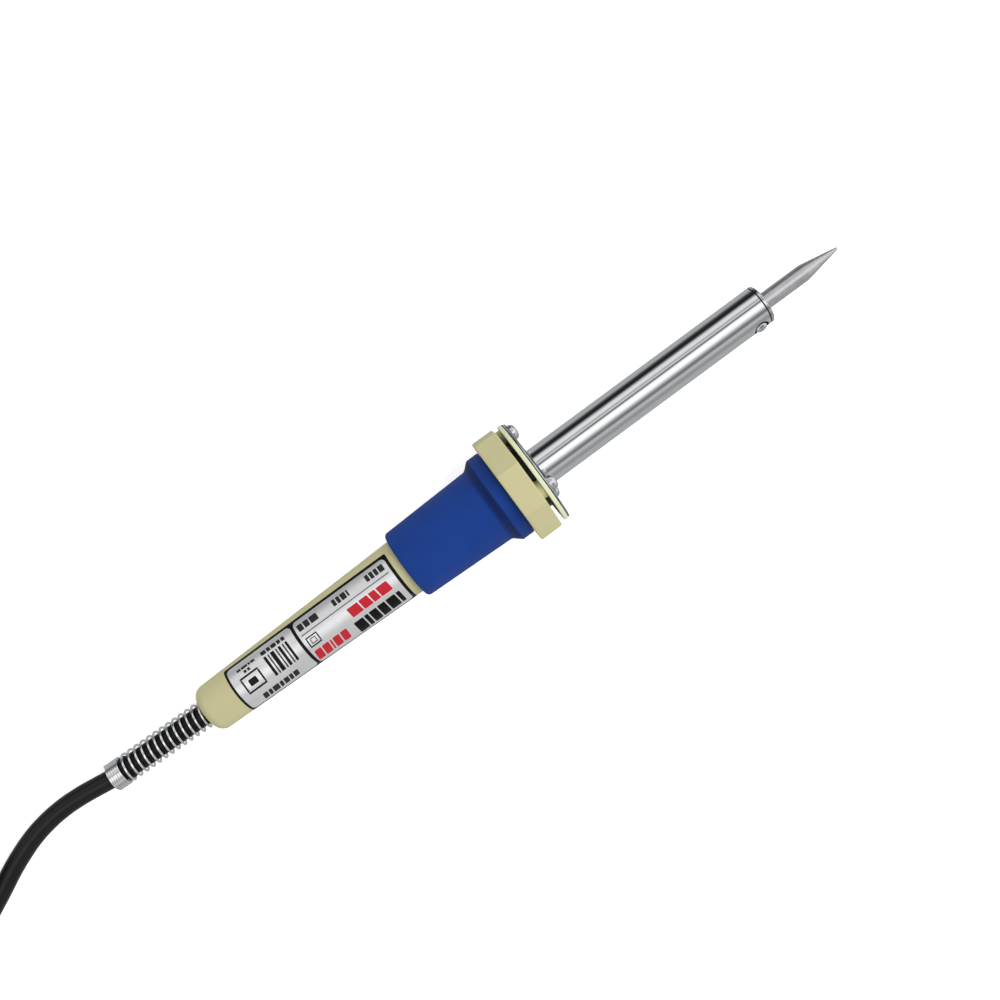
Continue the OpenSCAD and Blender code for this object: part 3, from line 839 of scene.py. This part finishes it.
border, front = 0.4, LABEL_WIDTHS[1]
frame_line = [
    (LABEL_U, border), (LABEL_U + border, 0), (LABEL_END - border, 0), (LABEL_END, border),
    (LABEL_END, front - border), (LABEL_END - border, front),
    (LABEL_U + border, LABEL_WIDTHS[0]), (LABEL_U, LABEL_WIDTHS[0] - border),
]
frame_line = [(u, edge_angle(u, arc)) for u, arc in dense(frame_line, 1.5)]
PANEL_SPANS = (0.73, 22.76), (23.74, 55.55)
PANEL_CORNER, PANEL_LOWER, PANEL_UPPER = 1.4, 2, 1.05
panels = []
for x0, x1 in PANEL_SPANS:
    u0, u1 = LABEL_U + x0, LABEL_U + x1
    flat = rounded([(u0, PANEL_LOWER), (u1, PANEL_LOWER), (u1, label_width(u1) - PANEL_UPPER),
                    (u0, label_width(u0) - PANEL_UPPER)], PANEL_CORNER, 6)
    panels.append(patch("panel", [(u, edge_angle(u, arc)) for u, arc in dense(flat, 1.5)], 0.05, 0.12))
add("label_frame", patch("label_frame", frame_line, 0.005, 0.09), print_black, replaces=["label"])
add("label_panels", joined("label_panels", panels), foil)

LEAN, WIDE_GAP, NARROW_GAP = -0.14, 0.42, 0.25
black = [block(24.52, 54.69, -1.51, -1.28, 0.08)]
black += row(38.77, 54.41, 4.27, 7.59, (5, 2, 4, 4, 5, 2), LEAN, 0.25, WIDE_GAP)
black += hollow(24.8, 28.6, -0.24, 2.86, 0.37, 0.14) + hollow(25.81, 27.59, 0.52, 2.1, 0.23, 0.08)
black += hollow(3.16, 9.44, -1.93, 3.14, 0.51, 0.25) + [block(4.97, 7.62, -0.35, 1.62, 0.34)]
black += [block(x, x + wide, -2.94, 3.25, 0.11) for x, wide in (
    (12.23, 0.84), (13.63, 0.39), (14.52, 1.23), (16.31, 0.39), (17.2, 0.84), (18.66, 0.39), (19.55, 0.73))]
grey = row(24.8, 31.51, -4.52, -2.61, (2, 2, 3)) + row(36.81, 42.26, -4.52, -2.61, (2, 2, 3, 1))
grey += row(48.26, 54.41, -4.52, -2.61, (2, 2, 2, 3))
grey += row(3.85, 10, -4.35, -3.73, (2, 3, 1, 2), gap=NARROW_GAP, radius=0.11)
grey += row(5.53, 7.62, -3.28, -2.49, (1, 1), radius=0.11) + row(12.23, 20.33, -4.58, -3.51, (3, 2, 3, 2, 2))
grey += row(6.09, 18.1, 5.06, 6.63, (3, 2, 4, 2, 3, 2, 3))
red = row(39.33, 53.01, -0.01, 2.92, (5, 4, 3, 5), LEAN, 0.25, WIDE_GAP)
red += row(24.8, 35.83, 3.99, 6.86, (4, 4, 1, 4, 4), 0, 0.34, WIDE_GAP)
for name, parts, ink in (("label_print_black", black, print_black), ("label_print_grey", grey, print_grey),
                         ("label_print_red", red, print_red)):
    add(name, joined(name, [patch("print", p, 0.10, 0.135) for p in parts]), ink)

# ---------------------------------------------------------------- strain relief
WIRE_R, MID_R = 0.33, 3.97
SPRING_START, OPEN_COILS, OPEN_LEN, CLOSE_COILS, CLOSE_LEN = 0.4, 13, 28.2, 6, 4
TURN_STEPS = 28
SLEEVE_BACK, SLEEVE_FRONT, SLEEVE_R, SLEEVE_BORE_R = -28.5, -0.6, 3.1, 2.81
centres, frames = [], []
for i in range((OPEN_COILS + CLOSE_COILS) * TURN_STEPS + 1):
    n = i / TURN_STEPS
    pitch = OPEN_LEN / OPEN_COILS if n < OPEN_COILS else CLOSE_LEN / CLOSE_COILS
    u = SPRING_START + (pitch * n if n < OPEN_COILS else OPEN_LEN + pitch * (n - OPEN_COILS))
    a = 2 * math.pi * n
    centres.append(Vector((-u, MID_R * math.cos(a), MID_R * math.sin(a))))
    outward = Vector((0, math.cos(a), math.sin(a)))
    forward = Vector((-pitch / (2 * math.pi), -MID_R * math.sin(a), MID_R * math.cos(a))).normalized()
    frames.append((outward, forward.cross(outward)))
add("relief_coil", sweep("relief_coil", centres, frames, WIRE_R, RELIEF), wire_steel,
    replaces=["relief_spring"])
add("relief_tube", lathe("relief_tube", [
    (SLEEVE_BACK, SLEEVE_BORE_R, 0.05), (SLEEVE_BACK, 3.5, 0.4), (SLEEVE_BACK + 2, 3.5, 0.3),
    (SLEEVE_BACK + 2.1, SLEEVE_R, 0.2), (SLEEVE_FRONT, SLEEVE_R, 0.1), (SLEEVE_FRONT, SLEEVE_BORE_R, 0.05),
], RELIEF, 64, ring=True), black_rubber, replaces=["relief_sleeve"])

# ---------------------------------------------------------------- cord
CORD_D = 5.6
LAYERS = [3.2, 8.8, 14.4]
R_OUT, R_IN = 23.2, 17.4
HANK_Y = 8
HANK_NEAR, HANK_FAR = -200, -284
LEAD = [
    (-126.4, 0.9, 4.5), (-129, 1.2, 4.35), (-132, 1.65, 4.15), (-138, 2.35, 3.75),
    (-144, 2.5, 3.4), (-150, 1.9, 3.1), (-155, 0.8, 2.95), (-160, -0.9, 2.87), (-165, -3, 2.85),
    (-170, -5.5, 2.85), (-175, -7.9, 2.85), (-180, -10.2, 2.9), (-185, -12.2, 3),
    (-192, -14.5, 3.2),
]
TAIL = [
    (-280, 24.9, 14.4), (-276, 23.4, 14.4), (-273, 21.4, 14.3), (-270.5, 18.9, 13.8), (-268, 15.8, 12.9),
    (-265, 13, 11.7), (-261.5, 10.8, 10.2), (-258, 9.3, 8.8), (-254.5, 8.4, 7.6),
    (-251, 8, 7),
]


def step(x, a, b):
    t = min(1, max(0, (x - a) / (b - a)))
    return t * t * (3 - 2 * t)


def hank_point(n):
    """The cord's middle after n laps of the hank, n from 0 at the near end of the first run."""
    r = R_OUT - (R_OUT - R_IN) * (step(n, 0.78, 1.0) - step(n, 2.28, 2.5) + step(n, 3.78, 4.0))
    z = LAYERS[0] + (LAYERS[1] - LAYERS[0]) * (step(n, 1.5, 1.78) + step(n, 3.0, 3.28))
    run = HANK_NEAR - HANK_FAR
    half = run / (2 * run + math.pi * (R_OUT + R_IN))
    fold = 0.5 - half
    t = n % 1
    if t < half:
        return (HANK_NEAR - run * t / half, HANK_Y - r, z)
    if t < half + fold:
        a = math.pi * (t - half) / fold
        return (HANK_FAR - r * math.sin(a), HANK_Y - r * math.cos(a), z)
    if t < 2 * half + fold:
        return (HANK_FAR + run * (t - half - fold) / half, HANK_Y + r, z)
    a = math.pi * (t - 2 * half - fold) / fold
    return (HANK_NEAR + r * math.sin(a), HANK_Y + r * math.cos(a), z)


LAPS = 4.5
LAP_POINTS = 24
turns = round(LAPS * LAP_POINTS)
route = LEAD + [hank_point(LAPS * i / turns) for i in range(turns + 1)] + TAIL
curve = bpy.data.curves.new("mains_cord", "CURVE")
curve.dimensions = "3D"
curve.resolution_u = 5
curve.bevel_depth = CORD_D / 2 * MM
curve.bevel_resolution = 6
curve.use_fill_caps = True
spline = curve.splines.new("BEZIER")
spline.bezier_points.add(len(route) - 1)
for point, p in zip(spline.bezier_points, route):
    point.co = [x * MM for x in p]
    point.handle_left_type = point.handle_right_type = "AUTO"
cord = add("mains_cord", curve, cord_black, replaces=["cord_lead", "cord_hank", "cord_tail"])

# Straps round the hank's two runs, each closed by a flap on top
TIE_X, TIE_W, TIE_T = -208, 4, 0.4
RUN_MID, RUN_HALF, RUN_TOP = 20.3, 5.7, 17.2


def strap_ring(x, y, grow):
    flat = [(-RUN_HALF - grow, TIE_T - grow), (RUN_HALF + grow, TIE_T - grow),
            (RUN_HALF + grow, RUN_TOP + grow), (-RUN_HALF - grow, RUN_TOP + grow)]
    return [(x, y + a, b) for a, b in rounded(flat, CORD_D / 2 + grow, 8)]


straps = []
for side in (-1, 1):
    y = HANK_Y + side * RUN_MID
    x0, x1 = TIE_X - TIE_W / 2, TIE_X + TIE_W / 2
    straps.append(loft("strap", [
        strap_ring(x0, y, 0), strap_ring(x0, y, TIE_T - 0.08), strap_ring(x0 + 0.1, y, TIE_T),
        strap_ring(x1 - 0.1, y, TIE_T), strap_ring(x1, y, TIE_T - 0.08), strap_ring(x1, y, 0),
    ], ROW, ring=True, degrees=35))
    top = RUN_TOP + TIE_T
    flap = [(y - 3.4, x0), (y + 2.4, x0), (y + 3.6, x0 + 1.2),
            (y + 3.6, x1 - 1.2), (y + 2.4, x1), (y - 3.4, x1)]
    straps.append(loft("flap", [[(b, a, z) for a, b in rounded(flap, r, 3)]
                                for z, r in ((top - 0.05, 0.3), (top + 0.32, 0.3), (top + 0.4, 0.4))],
                       ROW, degrees=35))
ties = add("hank_straps", joined("hank_straps", straps), strap_cloth, replaces=["hank_ties"])

# ---------------------------------------------------------------- plug
PLUG = ROW @ Matrix.Translation((-237, HANK_Y, 7))
CONE_LEN, CONE_REAR_R, CONE_FRONT_R = 14, 3.4, 4.6
ribs = [(-CONE_LEN, 0), (-CONE_LEN, CONE_REAR_R, 0.35)]
for i in range(6):
    u = 1 - CONE_LEN + 2.05 * i
    r = CONE_REAR_R + (CONE_FRONT_R - CONE_REAR_R) * (u + CONE_LEN) / CONE_LEN
    ribs += [(u + 0.5, r, 0.15), (u + 0.65, r - 0.75, 0.12),
             (u + 1.25, r - 0.7, 0.12), (u + 1.4, r + 0.13, 0.15)]
ribs += [(0.4, CONE_FRONT_R, 0.1), (0.4, 0)]
plug_relief = add("plug_strain_relief", lathe("plug_strain_relief", ribs, PLUG, 64), black_rubber,
                  replaces=["plug_relief"])
BODY_L = 22
# The body's half width and half thickness along it
WIDTHS = [(0, 6, 5), (1.2, 6.3, 5.17), (5, 7.5, 5.68), (8, 9.2, 6.1), (10, 10.5, 6.36), (12, 11.6, 6.62),
          (14, 12.3, 6.85), (16, 12.5, 6.9), (20.6, 12.5, 6.9), (21.6, 12.3, 6.7), (BODY_L, 11.9, 6.3)]
RIB_FROM, RIB_TO, RIB_PITCH, RIB_GAP = 9, 18.5, 1.9, 0.8
SECTION_STEP = 0.25


def plug_section(u, w, t, rib):
    flat = [(-w, -t), (w, -t), (w, t), (-w, t)]
    points = rounded(flat, min(w, t) * 0.55, 10)
    return [(u, a * (1 - rib * 0.028), b * (1 - rib * 0.07)) for a, b in points]


def size_at(u):
    for (u0, w0, t0), (u1, w1, t1) in zip(WIDTHS, WIDTHS[1:]):
        if u <= u1:
            k = (u - u0) / (u1 - u0)
            return w0 + (w1 - w0) * k, t0 + (t1 - t0) * k
    return WIDTHS[-1][1:]


sections = []
for i in range(round(BODY_L / SECTION_STEP) + 1):
    u = SECTION_STEP * i
    groove = RIB_FROM < u < RIB_TO and (u - RIB_FROM) % RIB_PITCH < RIB_GAP
    sections.append(plug_section(u, *size_at(u), groove))
plug = loft("plug_moulding", sections, PLUG, degrees=45)
plug_body = add("plug_moulding", plug, plug_black, replaces=["plug_body"])
pins, sleeves = [], []
PIN_SPACING, PIN_LEN, PIN_R, NECK_R, NECK_LEN = 19, 19, 2, 1.88, 10
for side in (-1, 1):
    where = PLUG @ Matrix.Translation((BODY_L, side * PIN_SPACING / 2, 0))
    pins.append(lathe("pin", [
        (-4, 0), (-4, NECK_R, 0.1), (NECK_LEN - 0.1, NECK_R, 0.02), (NECK_LEN, PIN_R, 0.05),
        (PIN_LEN - 1.1, PIN_R, 0.6), (PIN_LEN, 1.1, 0.5), (PIN_LEN, 0),
    ], where, 48))
    sleeves.append(lathe("sleeve", [
        (-0.5, NECK_R + 0.01, 0.02), (-0.5, PIN_R, 0.02), (NECK_LEN - 0.05, PIN_R, 0.06),
        (NECK_LEN - 0.05, NECK_R + 0.01, 0.02),
    ], where, 48, ring=True))
plug_pins = add("plug_contact_pins", joined("plug_contact_pins", pins), nickel, replaces=["plug_pins"])
pin_sleeves = add("pin_sleeves", joined("pin_sleeves", sleeves), plug_black)

# ---------------------------------------------------------------- CAD nodes that stay as they are
for node, material in {
    "core_tube": hot_steel, "mica_inner": mica_sheet, "heater_winding": resistance,
    "mica_outer": mica_sheet, "lead_wires": resistance, "lead_beads": ceramic, "lead_sleeves": glass_fibre,
    "terminal_block": block_white, "terminal_tubes": brass, "terminal_screws": screw_plate,
    "core_copper": copper, "cord_cores": core_blue, "cord_inner": cord_black, "cord_ferrule": aluminium,
}.items():
    for holder in NODES[node].material_slots:
        holder.material = material

# ---------------------------------------------------------------- studio
scene = bpy.context.scene
scene.view_settings.view_transform = "Standard"
AMBIENT = 0.72
FLOOR_LIFT = 0.6
# What the tool mirrors of the floor, painted as a dim glow that only reflections see: its level by the
# distance in metres towards +Y
FLOOR_SHEEN = [(0, 0.42), (0.048, 0.42), (0.07, 0.26), (0.11, 0.09), (0.2, 0.03)]
END_GLOW = (0.56, 0.78)
floor_mesh = bpy.data.meshes.new("floor")
far = 3
floor_mesh.from_pydata([(-far, -far, 0), (far, -far, 0), (far, far, 0), (-far, far, 0)], [], [(0, 1, 2, 3)])
floor = bpy.data.objects.new("floor", floor_mesh)
scene.collection.objects.link(floor)
paper = bpy.data.materials.new("paper_floor")
paper.use_nodes = True
nodes, links = paper.node_tree.nodes, paper.node_tree.links
sheet = nodes["Principled BSDF"]
sheet.inputs["Base Color"].default_value = (0.93, 0.93, 0.93, 1)
sheet.inputs["Roughness"].default_value = 0.9
sheet.inputs["Specular IOR Level"].default_value = 0.1
sheet.inputs["Emission Color"].default_value = (1, 1, 1, 1)
dim = nodes.new("ShaderNodeEmission")
spot = nodes.new("ShaderNodeSeparateXYZ")
links.new(nodes.new("ShaderNodeTexCoord").outputs["Object"], spot.inputs[0])
away = nodes.new("ShaderNodeValToRGB")
links.new(spot.outputs["Y"], away.inputs["Fac"])
fill_ramp(away.color_ramp, [(y, (level * 0.95, level, level * 1.02)) for y, level in FLOOR_SHEEN])
links.new(away.outputs["Color"], dim.inputs["Color"])
path = nodes.new("ShaderNodeLightPath")
lift = nodes.new("ShaderNodeMath")
lift.operation = "MULTIPLY"
lift.inputs[1].default_value = FLOOR_LIFT
links.new(path.outputs["Is Camera Ray"], lift.inputs[0])
links.new(lift.outputs[0], sheet.inputs["Emission Strength"])
blend = nodes.new("ShaderNodeMixShader")
links.new(path.outputs["Is Glossy Ray"], blend.inputs[0])
links.new(sheet.outputs[0], blend.inputs[1])
links.new(dim.outputs[0], blend.inputs[2])
links.new(blend.outputs[0], nodes["Material Output"].inputs["Surface"])
floor_mesh.materials.append(paper)

# The studio: even white light, and long bright and dark panels round the tool, seen only in reflections.
# Each stop is an angle round the axis from the camera, negative on the picture's upper side, and a level.
PANELS = [
    (-180, 0.46), (-144, 0.46), (-122, 0.37), (-110, 0.25), (-103, 0.10), (-95, 0.030), (-78, 0.014),
    (-69, 0.03), (-63, 0.24), (-57, 0.56), (-50, 0.80), (-39, 0.78), (-33, 0.42), (-28, 0.44), (-22, 0.76),
    (-18, 0.14), (-12, 0.25), (-5, 1.02), (0, 1.15), (11, 1.15), (16, 1.03), (22, 0.78), (27, 0.57),
    (33, 0.32), (39, 0.215), (45, 0.155), (51, 0.31), (57, 0.49), (63, 0.50), (76, 0.33), (84, 0.30),
    (144, 0.44),
]
world = bpy.data.worlds.new("studio")
scene.world = world
world.use_nodes = True
nodes, links = world.node_tree.nodes, world.node_tree.links
direction = nodes.new("ShaderNodeTexCoord").outputs["Generated"]


def toward_axis(axis):
    node = nodes.new("ShaderNodeVectorMath")
    node.operation = "DOT_PRODUCT"
    links.new(direction, node.inputs[0])
    node.inputs[1].default_value = TURN @ axis
    return node.outputs["Value"]


angle = nodes.new("ShaderNodeMath")
angle.operation = "ARCTAN2"
links.new(toward_axis(across), angle.inputs[0])
links.new(toward_axis(toward), angle.inputs[1])
place = nodes.new("ShaderNodeMapRange")
place.inputs["From Min"].default_value, place.inputs["From Max"].default_value = -math.pi, math.pi
links.new(angle.outputs[0], place.inputs["Value"])
ramp = nodes.new("ShaderNodeValToRGB")
links.new(place.outputs["Result"], ramp.inputs["Fac"])
fill_ramp(ramp.color_ramp, [
    ((degrees + 180) / 360, (level, level * 1.01, level * 1.02)) for degrees, level in PANELS])
even = nodes["Background"]
even.inputs["Color"].default_value = (1, 1, 1, 1)
even.inputs["Strength"].default_value = AMBIENT
ends = nodes.new("ShaderNodeMath")
ends.operation = "ABSOLUTE"
links.new(toward_axis(along), ends.inputs[0])
glow = nodes.new("ShaderNodeMapRange")
glow.inputs["From Min"].default_value, glow.inputs["From Max"].default_value = END_GLOW
links.new(ends.outputs[0], glow.inputs["Value"])
lit = nodes.new("ShaderNodeMix")
lit.data_type = "RGBA"
links.new(glow.outputs["Result"], lit.inputs[0])
links.new(ramp.outputs["Color"], lit.inputs[6])
lit.inputs[7].default_value = (0.95, 0.95, 0.95, 1)
panels_light = nodes.new("ShaderNodeBackground")
links.new(lit.outputs[2], panels_light.inputs["Color"])
path = nodes.new("ShaderNodeLightPath")
choice = nodes.new("ShaderNodeMixShader")
links.new(path.outputs["Is Glossy Ray"], choice.inputs[0])
links.new(even.outputs[0], choice.inputs[1])
links.new(panels_light.outputs[0], choice.inputs[2])
links.new(choice.outputs[0], nodes["World Output"].inputs["Surface"])


def softbox(name, direction, distance, size, watts):
    data = bpy.data.lights.new(name, "AREA")
    data.shape = "DISK"
    data.size = size
    data.energy = watts
    lamp = bpy.data.objects.new(name, data)
    scene.collection.objects.link(lamp)
    lamp.visible_glossy = False
    lamp.visible_camera = False
    offset = (TURN @ Vector(direction).normalized()) * distance
    lamp.location = TOOL @ Vector((AIM_U, 0, 0)) + offset
    lamp.rotation_euler = offset.to_track_quat("Z", "Y").to_euler()


softbox("key_softbox", (0.75, -0.1, 1), 0.9, 0.6, 4)
